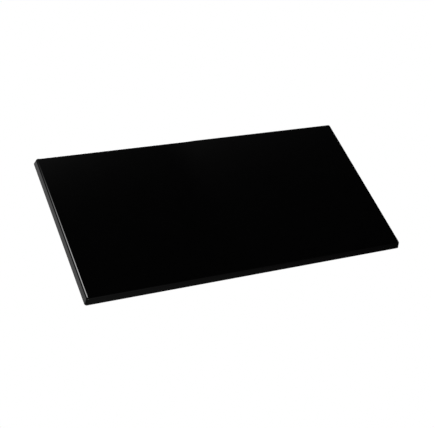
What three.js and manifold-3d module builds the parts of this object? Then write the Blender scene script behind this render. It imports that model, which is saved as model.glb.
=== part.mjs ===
// Kick plate: a boxed, tape-mounted protection plate for the foot of a door leaf.
//
// A gloss-coated steel tray (the pan) with sloping walls and rounded top edges is
// bonded over a core board, closed at the back by a balancing sheet and a bead of
// sealant, and carries seven strips of foam mounting tape, each under its own
// release liner.
//
// Frame, in millimetres: the plate lies on its back. The door's face is the plane
// z = 0, the show face looks along +Z, the long side runs along X, and the origin
// is the middle of the rectangle that touches the door.

import * as THREE from 'three';
import { mergeVertices } from 'three/addons/utils/BufferGeometryUtils.js';
import Module from 'manifold-3d';

// ---- driving dimensions (mm) ---------------------------------------------------

const PLATE_LENGTH = 400;        // along X, at the rim of the walls
const PLATE_HEIGHT = 203;        // along Y, at the rim of the walls
const PLATE_DEPTH = 10;          // door face to show face
const RIM_STANDOFF = 0.4;        // the rim stays this far off the door

const PAN_SHEET = 1.5;           // steel sheet, coated
const PAN_DRAFT = 1.8;           // each wall leans in by this much, rim to show face
const PAN_CORNER_RADIUS = 2.6;   // vertical corners, outside
const PAN_EDGE_RADIUS = 2.4;     // rounding between wall and show face, outside
const PAN_CORNER_STEPS = 6;      // facets in a vertical corner
const PAN_EDGE_STEPS = 5;        // facets in the rounded top edge
const PAN_CUTTER_BOTTOM = -2;    // z where the block that hollows the pan starts

const BOND_THICKNESS = 0.25;     // each glue line
const CORE_THICKNESS = 6;
const CORE_LENGTH = 391;
const CORE_HEIGHT = 194;
const CORE_CORNER = 2;
const CORE_CORNER_STEPS = 4;

const BACK_SHEET_THICKNESS = 0.75;
const BACK_SHEET_OVERHANG = 0.7; // past the core on every side
const BACK_SHEET_LENGTH = CORE_LENGTH + 2 * BACK_SHEET_OVERHANG;
const BACK_SHEET_HEIGHT = CORE_HEIGHT + 2 * BACK_SHEET_OVERHANG;
const BACK_SHEET_CORNER = 3;
const BACK_SHEET_CORNER_STEPS = 5;

const SEAL_GAP = 0.12;           // clearance of the cured bead to the pan and the sheet
const SEAL_BELOW = 0.35;         // how far the bead reaches below the back sheet
const SEAL_ABOVE = 0.15;         // how far it reaches above the sheet
const SEAL_CORNER_STEPS = 6;
const SEAL_CUTTER_OVERRUN = 1;   // the cutter passes the bead by this much at each end

const TAPE_WIDTH = 19;
const TAPE_THICKNESS = 1.1;
const TAPE_MARGIN_X = 190;       // outer edge of the tape frame from the middle, along X
const TAPE_MARGIN_Y = 91.5;      // the same along Y
const TAPE_GAP = 4;              // between the end of an upright's span and a long strip
const UPRIGHT_PITCH = 90;        // between the three inner uprights

const LINER_THICKNESS = 0.15;
const LINER_OVERHANG = 0.4;      // past each long edge of the tape
const LINER_TAB = 9;             // finger tab past the end of the tape
const LINER_TAB_RADIUS = 6;
const LINER_TAB_STEPS = 5;

// ---- levels above the door face ------------------------------------------------

const Z_TAPE = LINER_THICKNESS;
const Z_BACK_SHEET = Z_TAPE + TAPE_THICKNESS;
const Z_BACK_BOND = Z_BACK_SHEET + BACK_SHEET_THICKNESS;
const Z_CORE = Z_BACK_BOND + BOND_THICKNESS;
const Z_FACE_BOND = Z_CORE + CORE_THICKNESS;
const Z_PAN_INSIDE = Z_FACE_BOND + BOND_THICKNESS;

// ---- materials -----------------------------------------------------------------

const material = ({ color, roughness, metalness = 0 }) =>
  new THREE.MeshStandardMaterial({ color, roughness, metalness });

const GLOSS_BLACK = material({ color: 0x060607, roughness: 0.08 });
const GALVANISED = material({ color: 0x9aa0a3, roughness: 0.45, metalness: 0.9 });
const CORE_BROWN = material({ color: 0x8a6a48, roughness: 0.85 });
const GLUE_AMBER = material({ color: 0xb9a06a, roughness: 0.5 });
const SEAL_BLACK = material({ color: 0x101011, roughness: 0.6 });
const FOAM_GREY = material({ color: 0x3a3b3d, roughness: 0.9 });
const LINER_WHITE = material({ color: 0xe9e6dc, roughness: 0.4 });

// ---- solids --------------------------------------------------------------------

const wasm = await Module();
wasm.setup();

// Only positions may count when vertices are merged, or the solid has open seams.
const toSolid = (geometry) => {
  geometry.deleteAttribute('normal');
  geometry.deleteAttribute('uv');
  const merged = mergeVertices(geometry, 1e-5);
  return new wasm.Manifold(new wasm.Mesh({
    numProp: 3,
    vertProperties: new Float32Array(merged.attributes.position.array),
    triVerts: new Uint32Array(merged.index.array),
  }));
};

// The outside block with the inside block cut out of it.
const hollow = (outside, inside) => {
  const mesh = toSolid(outside).subtract(toSolid(inside)).getMesh();
  const geometry = new THREE.BufferGeometry();
  const positions = new Float32Array(mesh.vertProperties);
  geometry.setAttribute('position', new THREE.BufferAttribute(positions, 3));
  geometry.setIndex(new THREE.BufferAttribute(new Uint32Array(mesh.triVerts), 1));
  geometry.computeVertexNormals();
  return geometry;
};

const extrude = (shape, depth, curveSegments, steps = 1) =>
  new THREE.ExtrudeGeometry(shape, { depth, steps, bevelEnabled: false, curveSegments });

// A rectangle with four equal rounded corners, centred on the origin.
const roundedRectangle = (length, height, radius) => {
  const x = length / 2;
  const y = height / 2;
  const shape = new THREE.Shape();
  shape.moveTo(-x + radius, -y);
  shape.lineTo(x - radius, -y);
  shape.absarc(x - radius, -y + radius, radius, -Math.PI / 2, 0, false);
  shape.lineTo(x, y - radius);
  shape.absarc(x - radius, y - radius, radius, 0, Math.PI / 2, false);
  shape.lineTo(-x + radius, y);
  shape.absarc(-x + radius, y - radius, radius, Math.PI / 2, Math.PI, false);
  shape.lineTo(-x, -y + radius);
  shape.absarc(-x + radius, -y + radius, radius, Math.PI, 1.5 * Math.PI, false);
  return shape;
};

const slab = ({ length, height, corner, bottom, thickness, cornerSteps }) =>
  extrude(roundedRectangle(length, height, corner), thickness, cornerSteps)
    .translate(0, 0, bottom);

// A rounded-rectangle block whose outline changes with height. Each level gives
// z, how far the walls have leant in there, and how far the rounded top edge has
// drawn the outline in; the lean moves the corner centres, the rounding shrinks
// the corner radius.
const taperedBlock = ({ length, height, corner, levels, cornerSteps }) => {
  const steps = levels.length - 1;
  const geometry = extrude(roundedRectangle(length, height, corner), steps, cornerSteps, steps);
  const points = geometry.attributes.position;
  const centreX = length / 2 - corner;
  const centreY = height / 2 - corner;
  for (let i = 0; i < points.count; i++) {
    // The block is extruded one unit per level, so z is the level's index.
    const { z, lean, draw } = levels[Math.round(points.getZ(i))];
    const x = points.getX(i);
    const y = points.getY(i);
    const sideX = Math.sign(x);
    const sideY = Math.sign(y);
    const shrink = (corner - draw) / corner;
    points.setXYZ(i,
      sideX * (centreX - lean) + (x - sideX * centreX) * shrink,
      sideY * (centreY - lean) + (y - sideY * centreY) * shrink,
      z);
  }
  return geometry;
};

// A level on the pan's walls, which lean in evenly from the rim to the show face.
const wallLevel = (z, draw = 0) => ({
  z,
  lean: PAN_DRAFT * (z - RIM_STANDOFF) / (PLATE_DEPTH - RIM_STANDOFF),
  draw,
});

// A block that fills the pan's outline set in by `inset`.
const panBlock = (inset, levels, cornerSteps) => taperedBlock({
  length: PLATE_LENGTH - 2 * inset,
  height: PLATE_HEIGHT - 2 * inset,
  corner: PAN_CORNER_RADIUS - inset,
  levels,
  cornerSteps,
});

// ---- pan -----------------------------------------------------------------------

// Levels from bottom to top, with the top edge rounded by edgeRadius.
const roundedLevels = (bottom, top, edgeRadius) => {
  const levels = [wallLevel(bottom)];
  for (let i = 0; i <= PAN_EDGE_STEPS; i++) {
    const angle = (i / PAN_EDGE_STEPS) * Math.PI / 2;
    const z = top - edgeRadius + edgeRadius * Math.sin(angle);
    levels.push(wallLevel(z, edgeRadius * (1 - Math.cos(angle))));
  }
  return levels;
};

const makePan = () => {
  const outsideLevels = roundedLevels(RIM_STANDOFF, PLATE_DEPTH, PAN_EDGE_RADIUS);
  const insideLevels =
    roundedLevels(PAN_CUTTER_BOTTOM, Z_PAN_INSIDE, PAN_EDGE_RADIUS - PAN_SHEET);
  return hollow(
    panBlock(0, outsideLevels, PAN_CORNER_STEPS),
    panBlock(PAN_SHEET, insideLevels, PAN_CORNER_STEPS));
};

// ---- core board, glue films and back sheet -------------------------------------

const makeCoreLayer = (bottom, thickness) => slab({
  length: CORE_LENGTH,
  height: CORE_HEIGHT,
  corner: CORE_CORNER,
  bottom,
  thickness,
  cornerSteps: CORE_CORNER_STEPS,
});

const makeBackSheet = () => slab({
  length: BACK_SHEET_LENGTH,
  height: BACK_SHEET_HEIGHT,
  corner: BACK_SHEET_CORNER,
  bottom: Z_BACK_SHEET,
  thickness: BACK_SHEET_THICKNESS,
  cornerSteps: BACK_SHEET_CORNER_STEPS,
});

// ---- sealant bead between the back sheet and the walls -------------------------

const makeSeal = () => {
  const bottom = Z_BACK_SHEET - SEAL_BELOW;
  const top = Z_BACK_BOND + SEAL_ABOVE;
  const levels = [wallLevel(bottom), wallLevel(top)];
  const outside = panBlock(PAN_SHEET + SEAL_GAP, levels, SEAL_CORNER_STEPS);
  const inside = slab({
    length: BACK_SHEET_LENGTH + 2 * SEAL_GAP,
    height: BACK_SHEET_HEIGHT + 2 * SEAL_GAP,
    corner: BACK_SHEET_CORNER + SEAL_GAP,
    bottom: bottom - SEAL_CUTTER_OVERRUN,
    thickness: top - bottom + 2 * SEAL_CUTTER_OVERRUN,
    cornerSteps: SEAL_CORNER_STEPS,
  });
  return hollow(outside, inside);
};

// ---- tape strips and liners ----------------------------------------------------

// Both run along +X from x = 0 and are centred on Y; the strip's group turns them.
const makeTape = (length) =>
  new THREE.BoxGeometry(length, TAPE_WIDTH, TAPE_THICKNESS)
    .translate(length / 2, 0, TAPE_THICKNESS / 2);

// Square at x = 0, rounded at the tab.
const makeLiner = (tapeLength) => {
  const side = TAPE_WIDTH / 2 + LINER_OVERHANG;
  const end = tapeLength + LINER_TAB;
  const radius = LINER_TAB_RADIUS;
  const shape = new THREE.Shape();
  shape.moveTo(0, -side);
  shape.lineTo(end - radius, -side);
  shape.absarc(end - radius, -side + radius, radius, -Math.PI / 2, 0, false);
  shape.lineTo(end, side - radius);
  shape.absarc(end - radius, side - radius, radius, 0, Math.PI / 2, false);
  shape.lineTo(0, side);
  shape.closePath();
  return extrude(shape, LINER_THICKNESS, LINER_TAB_STEPS);
};

// Each span holds a tape and its liner's tab.
const LONG_SPAN = 2 * TAPE_MARGIN_X;
const UPRIGHT_SPAN = 2 * (TAPE_MARGIN_Y - TAPE_WIDTH - TAPE_GAP);
const END_X = TAPE_MARGIN_X - TAPE_WIDTH / 2;
const LONG_Y = TAPE_MARGIN_Y - TAPE_WIDTH / 2;

const longStrip = (place, y) =>
  ({ place, x: -LONG_SPAN / 2, y, turn: 0, span: LONG_SPAN });
const upright = (place, x) =>
  ({ place, x, y: -UPRIGHT_SPAN / 2, turn: Math.PI / 2, span: UPRIGHT_SPAN });

const STRIPS = [
  longStrip('top', LONG_Y),
  longStrip('bottom', -LONG_Y),
  upright('left_end', -END_X),
  upright('right_end', END_X),
  upright('upright_left', -UPRIGHT_PITCH),
  upright('upright_centre', 0),
  upright('upright_right', UPRIGHT_PITCH),
];

// ---- assembly ------------------------------------------------------------------

const plate = new THREE.Group();
plate.name = 'kick_plate';

const put = (name, geometry, surface, parent = plate) => {
  const mesh = new THREE.Mesh(geometry, surface);
  mesh.name = name;
  parent.add(mesh);
  return mesh;
};

put('face_pan', makePan(), GLOSS_BLACK);
put('face_bond_film', makeCoreLayer(Z_FACE_BOND, BOND_THICKNESS), GLUE_AMBER);
put('core_board', makeCoreLayer(Z_CORE, CORE_THICKNESS), CORE_BROWN);
put('back_bond_film', makeCoreLayer(Z_BACK_BOND, BOND_THICKNESS), GLUE_AMBER);
put('back_sheet', makeBackSheet(), GALVANISED);
put('edge_seal', makeSeal(), SEAL_BLACK);

for (const { place, x, y, turn, span } of STRIPS) {
  const strip = new THREE.Group();
  strip.position.set(x, y, 0);
  strip.rotation.z = turn;
  plate.add(strip);

  const tapeLength = span - LINER_TAB;
  const tape = put(`tape_${place}`, makeTape(tapeLength), FOAM_GREY, strip);
  tape.position.z = Z_TAPE;
  put(`liner_${place}`, makeLiner(tapeLength), LINER_WHITE, strip);
}

export default plate;
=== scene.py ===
"""Kick plate: a gloss black pressed pan over a bonded core and back sheet, with foam tape
strips and their liners underneath, in a white studio.

It lies face up on the floor, centred on the origin: long sides along X, short sides
along Y, left end at -X, front at -Y. Shapes are in millimetres and are turned into
metres in make(). Materials, floor shading and camera are in metres, light angles in
degrees, with azimuth counter-clockwise from +X."""
import math

import bpy
import numpy as np
from mathutils import Matrix, Vector


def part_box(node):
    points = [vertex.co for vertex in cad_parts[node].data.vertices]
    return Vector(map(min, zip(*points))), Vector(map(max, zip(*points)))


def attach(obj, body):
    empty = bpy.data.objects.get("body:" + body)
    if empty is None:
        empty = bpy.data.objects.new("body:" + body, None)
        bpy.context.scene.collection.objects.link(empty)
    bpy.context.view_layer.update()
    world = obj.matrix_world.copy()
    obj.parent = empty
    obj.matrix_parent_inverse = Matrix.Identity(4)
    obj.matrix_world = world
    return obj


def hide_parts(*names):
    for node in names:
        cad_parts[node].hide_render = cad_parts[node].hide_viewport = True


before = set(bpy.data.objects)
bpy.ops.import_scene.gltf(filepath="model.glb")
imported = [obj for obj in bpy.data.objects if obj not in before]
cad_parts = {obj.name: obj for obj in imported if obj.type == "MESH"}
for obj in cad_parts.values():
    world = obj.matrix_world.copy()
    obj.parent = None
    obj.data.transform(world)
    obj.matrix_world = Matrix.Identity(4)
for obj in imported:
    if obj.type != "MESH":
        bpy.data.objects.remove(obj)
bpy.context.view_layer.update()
MM = 0.001
FALL = (1.0, 0.0)  # output range of a ramp that goes down

# ---------------------------------------------------------------- mesh helpers


class Outline:
    """A rounded rectangle seen from above, counter-clockwise. A point is the signs of its
    corner centre and its outward direction, so one outline fits any size and radius."""

    def __init__(self, arc_steps, x_steps, y_steps):
        corners = ((1, 1), (-1, 1), (-1, -1), (1, -1))
        signs, outs = [], []
        for quarter, (sign_x, sign_y) in enumerate(corners):
            for i in range(arc_steps + 1):
                angle = math.pi * (0.5 * quarter + 0.5 * i / arc_steps)
                signs.append((sign_x, sign_y))
                outs.append((math.cos(angle), math.sin(angle)))
            next_x, next_y = corners[(quarter + 1) % 4]
            steps = x_steps if sign_y == next_y else y_steps
            for i in range(1, steps):
                t = i / steps
                signs.append((sign_x + (next_x - sign_x) * t, sign_y + (next_y - sign_y) * t))
                outs.append(outs[-1])
        self.signs = np.array(signs, float)
        self.outs = np.round(np.array(outs, float), 12)
        self.x_steps, self.y_steps, self.count = x_steps, y_steps, len(signs)

    def ring(self, centre, radius, z):
        """Points round corner centres at +-centre; radius and z may vary by point."""
        points = np.empty((self.count, 3))
        points[:, :2] = self.signs * centre + self.outs * np.reshape(radius, (-1, 1))
        points[:, 2] = z
        return points


def cap(outline, first, base, size, z, up):
    """Closes the ring that starts at vertex `first` with a grid of half size `size`,
    whose vertices start at `base`."""
    columns, rows = outline.x_steps, outline.y_steps
    xs = np.linspace(-size[0], size[0], columns + 1)
    ys = np.linspace(-size[1], size[1], rows + 1)
    grid = np.array([(x, y, z) for y in ys for x in xs])

    def grid_vertex(j):
        sign_x, sign_y = outline.signs[j]
        row = int(round((sign_y + 1) / 2 * rows))
        return base + row * (columns + 1) + int(round((sign_x + 1) / 2 * columns))

    faces = []
    for j in range(outline.count):
        k = (j + 1) % outline.count
        ring_side, grid_side = (first + j, first + k), (grid_vertex(k), grid_vertex(j))
        # the arc points of a corner all meet in one grid vertex
        faces.append(ring_side + (grid_side[:1] if grid_side[0] == grid_side[1] else grid_side))
    for row in range(rows):
        for column in range(columns):
            v = base + row * (columns + 1) + column
            faces.append((v, v + 1, v + columns + 2, v + columns + 1))
    return grid, faces if up else [face[::-1] for face in faces]


def make(name, verts, faces, normals=None, sharp=None):
    """Links a smooth-shaded mesh; edges over `sharp` degrees are left sharp."""
    mesh = bpy.data.meshes.new(name)
    mesh.from_pydata([tuple(v) for v in np.asarray(verts) * MM], [], faces)
    mesh.update()
    mesh.validate()
    mesh.polygons.foreach_set("use_smooth", [True] * len(mesh.polygons))
    if sharp is not None:
        mesh.set_sharp_from_angle(angle=math.radians(sharp))
    if normals is not None:
        mesh.normals_split_custom_set_from_vertices([tuple(n) for n in normals])
    ob = bpy.data.objects.new(name, mesh)
    bpy.context.scene.collection.objects.link(ob)
    return ob


def loft(name, outline, rings, caps=None, middle=(0.0, 0.0), normals=None, sharp=None):
    """Skin over rings. caps holds the half sizes of the first and last cap grids;
    without caps the last ring joins the first."""
    count = outline.count
    shift = np.array([*middle, 0.0])
    verts = [ring + shift for ring in rings]
    normals = None if normals is None else list(normals)
    faces = []
    for i in range(len(rings) if caps is None else len(rings) - 1):
        here, there = i * count, (i + 1) % len(rings) * count
        for j in range(count):
            k = (j + 1) % count
            faces.append((here + j, here + k, there + k, there + j))
    if caps is not None:
        for i, size, up in ((0, caps[0], False), (len(rings) - 1, caps[1], True)):
            base = sum(len(part) for part in verts)
            grid, cap_faces = cap(outline, i * count, base, size, rings[i][0, 2], up)
            verts.append(grid + shift)
            faces += cap_faces
            if normals is not None:
                normals.append(np.tile([0.0, 0.0, 1.0 if up else -1.0], (len(grid), 1)))
    if normals is not None:
        normals = np.concatenate(normals)
    return make(name, np.concatenate(verts), faces, normals, sharp)


def smooth_noise(count, waves, seed, amount):
    """A closed smooth random curve of count samples, at most `amount` from zero."""
    random = np.random.default_rng(seed)
    turn = np.arange(count) / count * 2 * math.pi
    curve = sum(
        random.normal() / math.sqrt(k) * np.cos(k * turn + random.uniform(0, 2 * math.pi))
        for k in waves
    )
    return amount * curve / max(1e-9, np.abs(curve).max())


# ---------------------------------------------------------------- node helpers


class Graph:
    """Builds shader nodes; its methods take and return sockets."""

    def __init__(self, owner):
        owner.use_nodes = True
        self.tree = owner.node_tree
        self.tree.nodes.clear()

    def node(self, kind, inputs=(), **settings):
        """A node with its settings, then its inputs, in order or keyed in a dict."""
        node = self.tree.nodes.new("ShaderNode" + kind)
        for key, value in settings.items():
            setattr(node, key, value)
        for key, value in inputs.items() if isinstance(inputs, dict) else enumerate(inputs):
            self.put(node.inputs[key], value)
        return node

    def put(self, socket, value):
        if isinstance(value, bpy.types.Node):
            value = value.outputs[0]
        if isinstance(value, bpy.types.NodeSocket):
            self.tree.links.new(value, socket)
        else:
            socket.default_value = value

    def math(self, operation, first, second=0.0):
        return self.node("Math", (first, second), operation=operation).outputs[0]

    def chain(self, operation, first, *others):
        for other in others:
            first = self.math(operation, first, other)
        return first

    def plus(self, *values):
        return self.chain("ADD", *values)

    def times(self, *values):
        return self.chain("MULTIPLY", *values)

    def degrees(self, operation, *values):
        return self.times(self.math(operation, *values), 180 / math.pi)

    def vector(self, operation, *values, out="Vector"):
        return self.node("VectorMath", values, operation=operation).outputs[out]

    def dot(self, vector, direction):
        return self.vector("DOT_PRODUCT", vector, tuple(direction), out="Value")

    def ramp(self, value, span, to=(0.0, 1.0), smooth=False):
        """Takes the range `span` to the range `to`, level outside it."""
        names = ("Value", "From Min", "From Max", "To Min", "To Max")
        kind = "SMOOTHSTEP" if smooth else "LINEAR"
        inputs = dict(zip(names, (value, *span, *to)))
        return self.node("MapRange", inputs, interpolation_type=kind, clamp=True).outputs[0]

    def inside(self, value, limit, soft):
        """1 below the limit, 0 above it, with a soft edge."""
        return self.ramp(value, span=(limit - soft, limit + soft), to=FALL, smooth=True)

    def decay(self, value, length):
        """exp(-value / length), level at 1 where value is negative."""
        return self.math("EXPONENT", self.times(self.math("MAXIMUM", value, 0.0), -1.0 / length))

    def mix(self, factor, low, high):
        low, high = ((*c, 1.0) if isinstance(c, tuple) else c for c in (low, high))
        inputs = {"Factor": factor, "A": low, "B": high}
        return self.node("Mix", inputs, data_type="RGBA").outputs["Result"]

    def noise(self, vector, scale, detail=2.0, rough=0.5, distort=0.0, out="Fac"):
        inputs = {"Vector": vector, "Scale": scale, "Detail": detail}
        inputs.update({"Roughness": rough, "Distortion": distort})
        return self.node("TexNoise", inputs).outputs[out]

    def voronoi(self, vector, scale, feature="F1", out="Distance"):
        inputs = {"Vector": vector, "Scale": scale}
        return self.node("TexVoronoi", inputs, feature=feature).outputs[out]

    def stretched(self, vector, scale, turn=0.0):
        inputs = {"Scale": scale, "Rotation": (0, 0, turn), "Vector": vector}
        return self.node("Mapping", inputs).outputs[0]

    def bump(self, height, depth, over=None):
        inputs = {"Distance": depth, "Strength": 1.0, "Height": height}
        if over is not None:
            inputs["Normal"] = over
        return self.node("Bump", inputs).outputs[0]

    def angles(self, view, azimuth, elevation, roll=0.0):
        """Degrees across and up from the middle of a light at (azimuth, elevation)."""
        outward = direction(azimuth, elevation)
        across = Vector((0, 0, 1)).cross(outward).normalized()
        up = outward.cross(across)
        turn = Matrix.Rotation(math.radians(roll), 3, outward)
        ahead = self.dot(view, outward)
        return [
            self.degrees("ARCTAN2", self.dot(view, turn @ axis), ahead) for axis in (across, up)
        ]

    def panel(self, view, azimuth, elevation, half, soft):
        """1 inside a soft-edged rectangle of sky; half and soft are (across, up)."""
        return self.times(*(
            self.inside(self.math("ABSOLUTE", angle), limit, blur)
            for angle, limit, blur in zip(self.angles(view, azimuth, elevation), half, soft)
        ))


class Surface(Graph):
    """A principled material, textured by object coordinates."""

    def __init__(self, name):
        self.material = bpy.data.materials.new(name)
        super().__init__(self.material)
        self.shader = self.node("BsdfPrincipled")
        self.node("OutputMaterial", (self.shader,))
        self.place = self.node("TexCoord").outputs["Object"]

    def finish(self, inputs):
        for key, value in inputs.items():
            self.put(self.shader.inputs[key], value)
        return self.material


def direction(azimuth, elevation):
    a, e = math.radians(azimuth), math.radians(elevation)
    return Vector((math.cos(a) * math.cos(e), math.sin(a) * math.cos(e), math.sin(e)))


# ---------------------------------------------------------------- materials


def gloss_black():
    """Stove enamel: near-black, mirror gloss, a trace of orange peel and of wiping marks."""
    mat = Surface("gloss_black_enamel")
    at = mat.place
    tone = mat.ramp(mat.noise(at, scale=60.0, detail=3.0), span=(0.3, 0.7))
    base = mat.mix(tone, low=(0.00018, 0.00018, 0.0002), high=(0.00032, 0.00032, 0.00035))
    # wiping marks: long thin streaks at three (turn, offset), shown only in patches
    marks = []
    for turn, offset in ((0.35, 0.0), (1.25, 7.0), (-0.6, 13.0)):
        moved = mat.vector("ADD", at, (offset, offset * 0.37, 0.0))
        streak = mat.stretched(moved, scale=(2600.0, 14.0, 1.0), turn=turn)
        line = mat.ramp(mat.noise(streak, scale=1.0, detail=1.0), span=(0.70, 0.76))
        patch = mat.noise(at, scale=9.0 + offset * 0.3, detail=1.0)
        marks.append(mat.times(line, mat.ramp(patch, span=(0.48, 0.62))))
    haze = mat.noise(at, scale=14.0, detail=3.0, rough=0.6)
    haze = mat.ramp(haze, span=(0.35, 0.75), to=(0.018, 0.036))
    mark_roughness = mat.times(mat.chain("MAXIMUM", *marks), 0.05)
    peel = mat.bump(mat.noise(at, scale=420.0, detail=1.5, rough=0.4), depth=5e-7)
    wave = mat.bump(mat.noise(at, scale=24.0, detail=1.0, rough=0.4), depth=7e-6, over=peel)
    return mat.finish({
        "IOR": 1.5,
        "Base Color": base,
        "Roughness": mat.plus(haze, mark_roughness),
        "Normal": wave,
    })


def galvanised():
    """Zinc spangle on thin steel sheet, with rolling lines and a few dull stains."""
    mat = Surface("galvanised_sheet")
    at = mat.place
    spangles = 120.0
    curl = mat.noise(at, scale=160.0, detail=2.0, out="Color")
    curl = mat.vector("SUBTRACT", curl, (0.5, 0.5, 0.5))
    curl = mat.node("VectorMath", {0: curl, "Scale": 0.006}, operation="SCALE")
    warp = mat.vector("ADD", at, curl)
    cell = mat.voronoi(warp, scale=spangles, out="Color")
    grey, dullness = mat.node("SeparateColor", (cell,)).outputs[:2]
    edge = mat.voronoi(warp, scale=spangles, feature="DISTANCE_TO_EDGE")
    edge = mat.ramp(edge, span=(0.0, 0.06))
    stain = mat.noise(at, scale=18.0, detail=5.0, rough=0.6)
    stain = mat.ramp(stain, span=(0.5, 0.75))
    stain_tint = mat.times(stain, 0.35)
    edge_tint = mat.times(mat.math("SUBTRACT", 1.0, edge), 0.25)
    base = mat.mix(grey, low=(0.40, 0.42, 0.435), high=(0.60, 0.62, 0.635))
    base = mat.mix(stain_tint, low=base, high=(0.45, 0.45, 0.44))
    base = mat.mix(edge_tint, low=base, high=(0.34, 0.355, 0.37))
    rough = mat.ramp(dullness, span=(0.0, 1.0), to=(0.32, 0.52))
    lines = mat.noise(mat.stretched(at, scale=(8.0, 2500.0, 1.0)), scale=1.0)
    return mat.finish({
        "Base Color": base,
        "Metallic": 1.0,
        "Roughness": mat.plus(rough, mat.times(stain, 0.15)),
        "Normal": mat.bump(grey, depth=6e-6, over=mat.bump(lines, depth=1.5e-6)),
    })


def fibreboard():
    """Brown board with fibres lying in two directions."""
    mat = Surface("core_fibreboard")
    at = mat.place
    fibre = mat.chain("MAXIMUM", *(
        mat.noise(mat.stretched(at, scale=scale, turn=turn),
                  scale=1.0, detail=4.0, rough=0.65, distort=1.5)
        for scale, turn in (((900.0, 260.0, 1800.0), 0.4), ((240.0, 1100.0, 1800.0), -0.3))
    ))
    tint = mat.ramp(mat.noise(at, scale=30.0, detail=3.0), span=(0.3, 0.7), to=(0.0, 0.3))
    tone = mat.ramp(fibre, span=(0.35, 0.75))
    base = mat.mix(tone, low=(0.20, 0.115, 0.055), high=(0.40, 0.26, 0.14))
    return mat.finish({
        "Base Color": mat.mix(tint, low=base, high=(0.20, 0.20, 0.10)),
        "Roughness": mat.ramp(fibre, span=(0.2, 0.8), to=(0.92, 0.72)),
        "Normal": mat.bump(fibre, depth=4e-5),
    })


def adhesive():
    """Rolled-on contact adhesive: amber, with the stipple the roller leaves."""
    mat = Surface("contact_adhesive")
    stipple = mat.noise(mat.place, scale=520.0, detail=3.0, rough=0.6)
    pool = mat.ramp(mat.noise(mat.place, scale=60.0, detail=3.0), span=(0.3, 0.7))
    return mat.finish({
        "Base Color": mat.mix(pool, low=(0.36, 0.25, 0.09), high=(0.52, 0.40, 0.19)),
        "Roughness": mat.ramp(stipple, span=(0.3, 0.7), to=(0.28, 0.6)),
        "Normal": mat.bump(stipple, depth=6e-5),
        "Subsurface Weight": 0.1,
        "Subsurface Radius": (0.001, 0.0008, 0.0004),
    })


def foam():
    """Closed-cell acrylic foam: dark grey, matt, with fine cells."""
    mat = Surface("acrylic_foam")
    cell = mat.voronoi(mat.place, scale=5200.0)
    lump = mat.noise(mat.place, scale=300.0, detail=3.0)
    tone = mat.ramp(cell, span=(0.0, 0.8))
    return mat.finish({
        "Base Color": mat.mix(tone, low=(0.028, 0.028, 0.03), high=(0.07, 0.07, 0.074)),
        "Roughness": mat.ramp(lump, span=(0.3, 0.7), to=(0.78, 0.95)),
        "Normal": mat.bump(lump, depth=3e-5, over=mat.bump(cell, depth=4e-5)),
        "Sheen Weight": 0.1,
    })


def liner():
    """Silicone-coated liner: off-white, satin, a fine diamond emboss and soft creases."""
    mat = Surface("release_liner")
    at = mat.place
    pitch = 2600.0  # radians per metre along each axis
    emboss = mat.chain("MAXIMUM", *(
        mat.ramp(mat.math("SINE", mat.dot(at, (pitch, slope, 0.0))), span=(0.86, 1.0))
        for slope in (pitch, -pitch)
    ))
    creased = mat.stretched(at, scale=(90.0, 25.0, 1.0), turn=0.5)
    crease = mat.bump(mat.noise(creased, scale=1.0, detail=3.0, distort=0.8), depth=1.2e-4)
    tone = mat.noise(at, scale=45.0, detail=4.0)
    shade = mat.ramp(tone, span=(0.3, 0.7))
    base = mat.mix(shade, low=(0.70, 0.665, 0.58), high=(0.80, 0.775, 0.70))
    return mat.finish({
        "Base Color": mat.mix(mat.times(emboss, 0.12), low=base, high=(0.62, 0.60, 0.54)),
        "Roughness": mat.ramp(tone, span=(0.3, 0.7), to=(0.30, 0.44)),
        "Normal": mat.bump(emboss, depth=1.2e-5, over=crease),
        "Specular IOR Level": 0.45,
    })


def sealant():
    """Cured black sealant with the drag marks of the tooling."""
    mat = Surface("black_sealant")
    dragged = mat.stretched(mat.place, scale=(260.0, 260.0, 3000.0))
    drag = mat.noise(dragged, scale=1.0, detail=3.0, rough=0.6)
    lump = mat.noise(mat.place, scale=150.0, detail=3.0)
    tone = mat.ramp(lump, span=(0.3, 0.7))
    return mat.finish({
        "Base Color": mat.mix(tone, low=(0.010, 0.010, 0.011), high=(0.020, 0.020, 0.021)),
        "Roughness": mat.ramp(drag, span=(0.3, 0.7), to=(0.38, 0.62)),
        "Normal": mat.bump(lump, depth=1e-4, over=mat.bump(drag, depth=2.5e-5)),
    })


BLACK, ZINC, BOARD, GLUE = gloss_black(), galvanised(), fibreboard(), adhesive()
FOAM, LINER, SEAL = foam(), liner(), sealant()


def finish_piece(ob, material, node):
    ob.data.materials.append(material)
    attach(ob, "root")
    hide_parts(node)


def mm_box(node):
    """Low corner, high corner, half size and middle of a CAD node."""
    low, high = (np.array(corner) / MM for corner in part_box(node))
    return low, high, (high - low) / 2, (high + low) / 2


# ---------------------------------------------------------------- the pan

PAN_SHEET = 1.5  # thickness
PAN_DRAFT = 1.8  # how far the walls lean in between rim and top
PAN_CORNER = 2.6  # corner radius seen from above
PAN_EDGE = 2.4  # outer radius between wall and face
RIM_EDGE = 0.22  # rounding of the sheet's cut edge
pan_low, pan_high, pan_half, _ = mm_box("face_pan")
Z_RIM, Z_TOP = pan_low[2], pan_high[2]
Z_INNER = mm_box("face_bond_film")[1][2]  # underside of the face
LEAN = PAN_DRAFT / (Z_TOP - Z_RIM)


def pan_centre(z):
    """Corner centre of the leaning wall at height z."""
    return pan_half[:2] - PAN_CORNER - LEAN * (z - Z_RIM)


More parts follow.
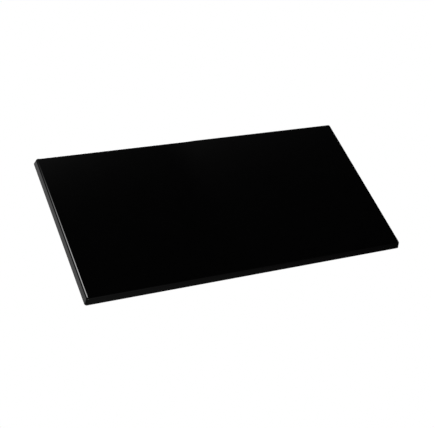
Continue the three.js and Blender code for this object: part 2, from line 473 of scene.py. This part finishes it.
def arc(inset, z, radius, start, end, steps):
    """Section rows on an arc round (inset, z), from start to end in degrees."""
    rows = []
    sense = 1 if end > start else -1
    for i in range(steps + 1):
        angle = math.radians(start + (end - start) * i / steps)
        cos, sin = math.cos(angle), math.sin(angle)
        rows.append((inset + radius * cos, z + radius * sin, -sin * sense, cos * sense))
    return rows


def pan_section():
    """Rows of inset from the outer wall, z, and the tangent in the same two directions:
    from the underside of the face, down inside, round the rim and up to the top."""
    inner = PAN_EDGE - PAN_SHEET
    rim_z = Z_RIM + RIM_EDGE
    inner_z, outer_z = Z_INNER - inner, Z_TOP - PAN_EDGE
    rows = arc(PAN_SHEET + inner, inner_z, inner, 90, 180, 8)
    for f in (0.33, 0.66):
        rows.append((PAN_SHEET, inner_z + (rim_z - inner_z) * f, 0.0, -1.0))
    rows += arc(PAN_SHEET - RIM_EDGE, rim_z, RIM_EDGE, 0, -90, 5)
    rows.append((PAN_SHEET / 2, Z_RIM, -1.0, 0.0))
    rows += arc(RIM_EDGE, rim_z, RIM_EDGE, 270, 180, 5)
    for f in (0.25, 0.5, 0.75):
        rows.append((0.0, rim_z + (outer_z - rim_z) * f, 0.0, 1.0))
    return rows + arc(PAN_EDGE, outer_z, PAN_EDGE, 180, 90, 18)


def pan():
    outline = Outline(12, 44, 22)
    cap_inset = 1.5
    rings, normals = [], []
    for inset, z, tangent_inset, tangent_z in pan_section():
        rings.append(outline.ring(pan_centre(z), PAN_CORNER - inset, z))
        along = outline.signs * (-LEAN * tangent_z) + outline.outs * (-tangent_inset)
        normal = np.empty((outline.count, 3))
        normal[:, :2] = outline.outs * tangent_z
        normal[:, 2] = -(outline.outs * along).sum(1)
        normals.append(normal / np.linalg.norm(normal, axis=1)[:, None])
    caps = [pan_centre(z) - cap_inset for z in (Z_INNER, Z_TOP)]
    return loft("pressed_face_pan", outline, rings, caps, normals=normals)


finish_piece(pan(), BLACK, "face_pan")


# ---------------------------------------------------------------- flat sheets and the core

BACK_CORNER = 3.0  # corner radius of the back sheet
CORE_CORNER = 2.0  # and of the core and its glue lines


def plate(name, node, corner, edge, outline, wander=0.0, seed=0):
    """A flat sheet the size of its node, with rounded edges; its outline may wander
    inwards by up to `wander`."""
    low, high, half, middle = mm_box(node)
    push = -np.abs(smooth_noise(outline.count, range(3, 60), seed, wander)) if wander else 0.0
    centre = half[:2] - corner
    cap_inset, steps = 1.0, 4
    rounding = []  # (sine, cosine) through a quarter turn
    for i in range(steps + 1):
        angle = math.pi / 2 * i / steps
        rounding.append((math.sin(angle), math.cos(angle)))
    rows = [(edge * (1 - sin), low[2] + edge * (1 - cos)) for sin, cos in rounding]
    for f in (0.3, 0.5, 0.7):
        rows.append((0.0, low[2] + edge + (high[2] - low[2] - 2 * edge) * f))
    rows += [(edge * (1 - cos), high[2] - edge * (1 - sin)) for sin, cos in rounding]
    rings = [outline.ring(centre, corner - inset + push, z) for inset, z in rows]
    return loft(name, outline, rings, [centre - cap_inset] * 2, middle[:2], sharp=40.0)


COARSE, FINE = Outline(8, 40, 20), Outline(6, 96, 48)
PLATES = (  # material, slot, name, node, corner, edge, outline, wander and seed if any
    (BOARD, "core_fibreboard", "core_panel", "core_board", CORE_CORNER, 0.35, COARSE),
    (GLUE, "bond_adhesive", "face_glue_line", "face_bond_film", CORE_CORNER, 0.06, FINE, 1.2, 11),
    (GLUE, "bond_adhesive", "back_glue_line", "back_bond_film", CORE_CORNER, 0.06, FINE, 1.2, 23),
    (ZINC, "galvanised_sheet", "balancing_sheet", "back_sheet", BACK_CORNER, 0.12, COARSE),
)
for material, slot, name, node, *shape in PLATES:
    finish_piece(plate(name, node, *shape), material, node)


def seal():
    """The bead between pan wall and back sheet: its underside is lowest at the wall and
    curves up to a shallow hollow, with a slight waver."""
    gap = 0.12  # clearance between bead and wall
    low, high, _, middle = mm_box("edge_seal")
    bottom, half_way, top = low[2], middle[2], high[2]
    sheet_centre = mm_box("back_sheet")[2][:2] - BACK_CORNER
    outline = Outline(8, 120, 60)
    waver = smooth_noise(outline.count, range(5, 40), 5, 0.05)
    # (fraction of the way from wall to sheet, height above the lowest point)
    underside = (
        (0.02, 0.02), (0.10, 0.16), (0.25, 0.30), (0.45, 0.37),
        (0.65, 0.37), (0.85, 0.32), (0.98, 0.27),
    )
    # (the same fraction, z) up the sheet side, back over the top and down the wall side
    hidden = (
        (1.0, bottom + 0.32), (1.0, half_way), (1.0, top - 0.03),
        (0.97, top), (0.5, top), (0.03, top),
        (0.0, top - 0.03), (0.0, half_way), (0.0, bottom + 0.04),
    )
    rows = [(w, bottom + rise, waver if 0.15 < w < 0.9 else 0.0) for w, rise in underside]
    rows += [(w, z, 0.0) for w, z in hidden]
    rings = []
    for w, z, extra in reversed(rows):
        centre = pan_centre(z) * (1 - w) + sheet_centre * w
        radius = (PAN_CORNER - PAN_SHEET - gap) * (1 - w) + (BACK_CORNER + gap) * w
        rings.append(outline.ring(centre, radius, z + extra))
    return loft("sealant_bead", outline, rings, sharp=50.0)


finish_piece(seal(), SEAL, "edge_seal")


# ---------------------------------------------------------------- tape and liners

TAPE_CORNER, TAPE_WANDER = 0.5, 0.06
TAPE_PROFILE = (  # (fraction of the thickness, inset of the side)
    (0.0, 0.10), (0.02, 0.04), (0.06, 0.01), (0.2, 0.07), (0.35, 0.12), (0.5, 0.14),
    (0.65, 0.12), (0.8, 0.07), (0.94, 0.01), (0.98, 0.04), (1.0, 0.10),
)
TAB_RADIUS = 6.0
PLACES = (
    "top", "bottom", "left_end", "right_end", "upright_left", "upright_centre", "upright_right",
)


def tape(place, seed):
    """Foam strip, its sides a little hollow between the two pressed faces."""
    node = "tape_" + place
    low, high, half, middle = mm_box(node)
    outline = Outline(4, 90, 8) if half[0] > half[1] else Outline(4, 8, 40)
    cut = smooth_noise(outline.count, range(2, 30), seed, TAPE_WANDER)
    centre = half[:2] - TAPE_CORNER
    rings = []
    for f, inset in TAPE_PROFILE:
        radius = TAPE_CORNER - inset - TAPE_WANDER + cut * (1 if 0 < f < 1 else 0.6)
        rings.append(outline.ring(centre, radius, low[2] + (high[2] - low[2]) * f))
    ob = loft("foam_" + node, outline, rings, [centre - 0.4] * 2, middle[:2], sharp=60.0)
    finish_piece(ob, FOAM, node)


def liner_strip(place, seed):
    """Thin liner along a strip: flat at the tape, its rounded tab at the +X or +Y end
    bent a little upwards."""
    node = "liner_" + place
    low, high, _, middle = mm_box(node)
    size = high - low
    along_x = size[0] > size[1]
    axis = 0 if along_x else 1
    length, width, thick = size[axis], size[1 - axis], size[2]
    tab = high[axis] - mm_box("tape_" + place)[1][axis]
    us = np.unique(np.concatenate([
        np.linspace(0, length - tab, 60 if along_x else 26),
        length - tab + np.linspace(0, tab - TAB_RADIUS, 5),
        length - TAB_RADIUS + TAB_RADIUS * np.sin(np.linspace(0, math.pi / 2, 12)),
    ]))
    vs = np.linspace(-1, 1, 13)
    random = np.random.default_rng(seed)
    lift = 0.26 + 0.1 * random.random()
    tilt = random.uniform(-0.3, 0.3)
    phase = random.uniform(0, 6.28, 3)[0]
    bottom, top = [], []
    for u in us:
        half_width = width / 2
        if u > length - TAB_RADIUS:
            chord = TAB_RADIUS**2 - (u - length + TAB_RADIUS) ** 2
            half_width = width / 2 - TAB_RADIUS + math.sqrt(max(0.0, chord))
        t = min(1.0, max(0.0, (u - (length - tab) - 0.6) / (tab - 0.6)))
        for v in vs:
            z = lift * t * t * (3 - 2 * t) * (1 + tilt * v)
            z += 0.03 * t * (1 + math.sin(v * 4 + phase))
            if along_x:
                x, y = low[0] + u, middle[1] + v * half_width
            else:
                x, y = middle[0] - v * half_width, low[1] + u
            bottom.append((x, y, low[2] + z))
            top.append((x, y, low[2] + z + thick))

    rows, row = len(us), len(vs)
    upper = rows * row  # first vertex of the upper side
    faces = []
    for i in range(rows - 1):
        for j in range(row - 1):
            a = i * row + j
            b, c, d = a + row, a + row + 1, a + 1
            faces.append((upper + a, upper + b, upper + c, upper + d))
            faces.append((a, d, c, b))
    edges = []
    for i in range(rows - 1):
        near, far = i * row, (i + 1) * row
        edges += [(near, far), (far + row - 1, near + row - 1)]
    for j in range(row - 1):
        end = (rows - 1) * row + j
        edges += [(j + 1, j), (end, end + 1)]
    faces += [(a, b, upper + b, upper + a) for a, b in edges]
    ob = make("paper_" + node, bottom + top, faces, sharp=40.0)
    finish_piece(ob, LINER, node)


for i, place in enumerate(PLACES):
    tape(place, 100 + i)
    liner_strip(place, 200 + i)


# ---------------------------------------------------------------- studio

WHITE = (1, 1, 1, 1)
KEY, BACKDROP = 10.5, 4.6  # strengths


def faint_glows(sky, view):
    """Two glows behind on the right, the first cut off on one side, and a weak gradient."""
    x, y = sky.angles(view, azimuth=56.0, elevation=45.0, roll=45.0)
    y = sky.plus(y, 1.09, sky.times(x, 0.3635))  # distance above their slanting lower line
    near_x, far_x = -0.186, 8.13
    near = sky.times(
        sky.decay(sky.math("SUBTRACT", near_x, x), length=5.66),
        sky.decay(y, length=1.94),
        sky.inside(x, limit=near_x, soft=1.06),
        0.0457,
    )
    far = sky.times(
        sky.decay(sky.math("SUBTRACT", far_x, x), length=4.82),
        sky.decay(y, length=1.71),
        0.0877,
    )
    return near, far, sky.ramp(x, span=(-25.0, 15.0), to=(0.006, 0.0155))


def key_softbox(sky, view):
    """Tall leaning box behind the left end, its lower part feathered out."""
    x, y = sky.angles(view, azimuth=140.0, elevation=40.8, roll=23.5)
    return sky.times(
        sky.inside(sky.math("ABSOLUTE", x), limit=6.5, soft=3.8),
        sky.ramp(y, span=(-20.5, -4.5), smooth=True),
        sky.ramp(y, span=(9.7, 12.3), to=FALL, smooth=True),
        KEY,
    )


def studio():
    """White to the eye and to matt surfaces; gloss surfaces mirror a dark room of lights."""
    world = bpy.data.worlds.new("studio")
    bpy.context.scene.world = world
    sky = Graph(world)
    view = sky.node("TexCoord").outputs["Generated"]
    x, y, z = sky.node("SeparateXYZ", (view,)).outputs
    azimuth = sky.degrees("ARCTAN2", y, x)
    elevation = sky.degrees("ARCSINE", z)

    lights = [*faint_glows(sky, view)]
    # wide dim glow on the left and behind
    left = sky.panel(view, azimuth=130.0, elevation=32.0, half=(42.0, 32.0), soft=(14.0, 8.0))
    lights.append(sky.times(left, 0.034))
    lights.append(key_softbox(sky, view))
    # dim wall to the front, fading away to the right
    lights.append(sky.times(
        sky.ramp(azimuth, span=(-125.0, -95.0)),
        sky.ramp(azimuth, span=(-74.0, -58.0), to=(0.15, 0.05), smooth=True),
        sky.ramp(azimuth, span=(-58.0, -46.0), to=FALL, smooth=True),
        sky.ramp(elevation, span=(45.0, 52.0), to=FALL, smooth=True),
    ))
    # fill boxes in front, to the right and front right:
    # azimuth, elevation, half size, softness, strength
    for *box, strength in (
        (-110.0, 18.0, (20.0, 14.0), (18.0, 6.0), 1.0),
        (2.0, 18.0, (20.0, 14.0), (6.0, 5.0), 1.1),
        (-22.0, 14.0, (18.0, 13.0), (7.0, 8.0), 0.8),
    ):
        lights.append(sky.times(sky.panel(view, *box), strength))
    # narrow, low bright backdrop behind
    lights.append(sky.times(
        sky.ramp(azimuth, span=(65.6, 66.6)),
        sky.ramp(azimuth, span=(74.0, 76.5), to=FALL, smooth=True),
        sky.ramp(elevation, span=(8.0, 14.0), to=(BACKDROP, 0.0), smooth=True),
    ))
    # soft round light almost overhead, 14 degrees in radius
    over = sky.dot(view, direction(165.0, 79.0))
    reach = (math.cos(math.radians(14.0)), 1.0)
    lights.append(sky.ramp(over, span=reach, to=(0.0, 0.6), smooth=True))

    glossy = sky.node("LightPath").outputs["Is Glossy Ray"]
    shown = sky.node("Background", {"Color": WHITE, "Strength": 1.0})
    mirrored = sky.node("Background", {"Color": WHITE, "Strength": sky.plus(*lights)})
    sky.node("OutputWorld", (sky.node("MixShader", (glossy, shown, mirrored)),))


def floor_reflection(mat):
    """Brightness of the floor as gloss surfaces mirror it."""
    at = mat.node("TexCoord").outputs["Object"]
    x, y, _ = mat.node("SeparateXYZ", (at,)).outputs

    def beside(start_y, slope):
        """Distance in X from a line that leaves (0, start_y) with this slope."""
        return mat.math("SUBTRACT", x, mat.times(mat.math("SUBTRACT", y, start_y), slope))

    # a lit strip along the left end, nearly dark under the plate
    left = mat.times(
        mat.ramp(x, span=(-0.2095, -0.2055), to=(0.12, 0.55)),
        mat.ramp(x, span=(-0.1985, -0.198), to=(1.0, 0.05)),
        mat.ramp(y, span=(-0.1008, -0.0998), to=(0.04, 1.0)),
    )
    # painted shadow of the plate: the floor in front of it is dim, darker towards the right
    front = mat.ramp(x, span=(-0.2, 0.2), to=(0.1, 0.02))
    in_front = mat.ramp(y, span=(-0.1022, -0.1012), to=FALL)
    # bright behind the plate's left half, between two slanting lines
    behind = mat.times(
        mat.ramp(y, span=(0.1025, 0.1035)),
        mat.ramp(y, span=(0.128, 0.150), to=(BACKDROP, 0.0)),
        mat.ramp(beside(start_y=0.1, slope=0.466), span=(-0.005, -0.001), to=FALL),
        mat.ramp(beside(start_y=0.097, slope=0.287), span=(-0.197, -0.193)),
    )
    # far off, the floor is lit in sectors to the front left and to the right
    azimuth = mat.degrees("ARCTAN2", y, x)
    sectors = []
    for operation, middle, span in (("ADD", 122.0, (30.0, 42.0)), ("SUBTRACT", 20.0, (35.0, 50.0))):
        away = mat.math("ABSOLUTE", mat.math(operation, azimuth, middle))
        sectors.append(mat.ramp(away, span=span, to=FALL, smooth=True))
    distance = mat.vector("LENGTH", at, out="Value")
    lit = mat.ramp(distance, span=(0.35, 1.2), to=(0.0, 0.6), smooth=True)
    far = mat.times(mat.chain("MAXIMUM", *sectors), lit)
    near = mat.vector("ADD", mat.mix(in_front, low=left, high=front), behind)
    return mat.vector("ADD", near, far)


def floor():
    """Floor, white to the camera, diffuse to matt surfaces, painted light to gloss ones."""
    half, z = 4000, -0.05
    corners = [(-half, -half, z), (half, -half, z), (half, half, z), (-half, half, z)]
    ob = make("studio_floor", corners, [(0, 1, 2, 3)])
    material = bpy.data.materials.new("studio_floor")
    ob.data.materials.append(material)
    mat = Graph(material)
    ray = mat.node("LightPath").outputs
    seen = mat.node("Emission", {"Color": WHITE, "Strength": 1.0})
    mirrored = mat.node("Emission", {"Color": floor_reflection(mat), "Strength": 1.0})
    dull = mat.node("BsdfDiffuse", {"Color": (0.8, 0.8, 0.8, 1)})
    unseen = mat.node("MixShader", (ray["Is Glossy Ray"], dull, mirrored))
    shader = mat.node("MixShader", (ray["Is Camera Ray"], unseen, seen))
    mat.node("OutputMaterial", (shader,))


studio()
floor()

# ---------------------------------------------------------------- camera

SHORT = 2 * pan_half[1] * MM  # the plate's short side, in metres
CAM_TURN, CAM_ELEVATION, CAM_ROLL = (math.radians(a) for a in (-38.249, 47.334, 21.428))
CAM_DISTANCE = 5.6444 * SHORT
CAM_AIM = Vector((-0.0403, -0.0483, 0.0)) * SHORT
CAM_LENS, CAM_SENSOR = 80.61269, 36.0


def camera():
    """Looks down at the plate from the front left, rolled about its axis."""
    level = math.cos(CAM_ELEVATION)
    back = Vector((
        math.sin(CAM_TURN) * level, -math.cos(CAM_TURN) * level, math.sin(CAM_ELEVATION),
    ))
    right = (-back).cross(Vector((0, 0, 1))).normalized()
    up = right.cross(-back)
    cos, sin = math.cos(CAM_ROLL), math.sin(CAM_ROLL)
    axes = Matrix((cos * right + sin * up, -sin * right + cos * up, back)).transposed()
    data = bpy.data.cameras.new("main")
    data.sensor_width = CAM_SENSOR
    data.lens = CAM_LENS
    data.clip_start, data.clip_end = 0.01, 100.0
    ob = bpy.data.objects.new("main", data)
    bpy.context.scene.collection.objects.link(ob)
    ob.matrix_world = Matrix.Translation(CAM_AIM + back * CAM_DISTANCE) @ axes.to_4x4()
    bpy.context.scene.camera = ob


camera()
settings = bpy.context.scene.view_settings
settings.view_transform, settings.look = "Standard", "None"
settings.exposure, settings.gamma = 0.0, 1.0
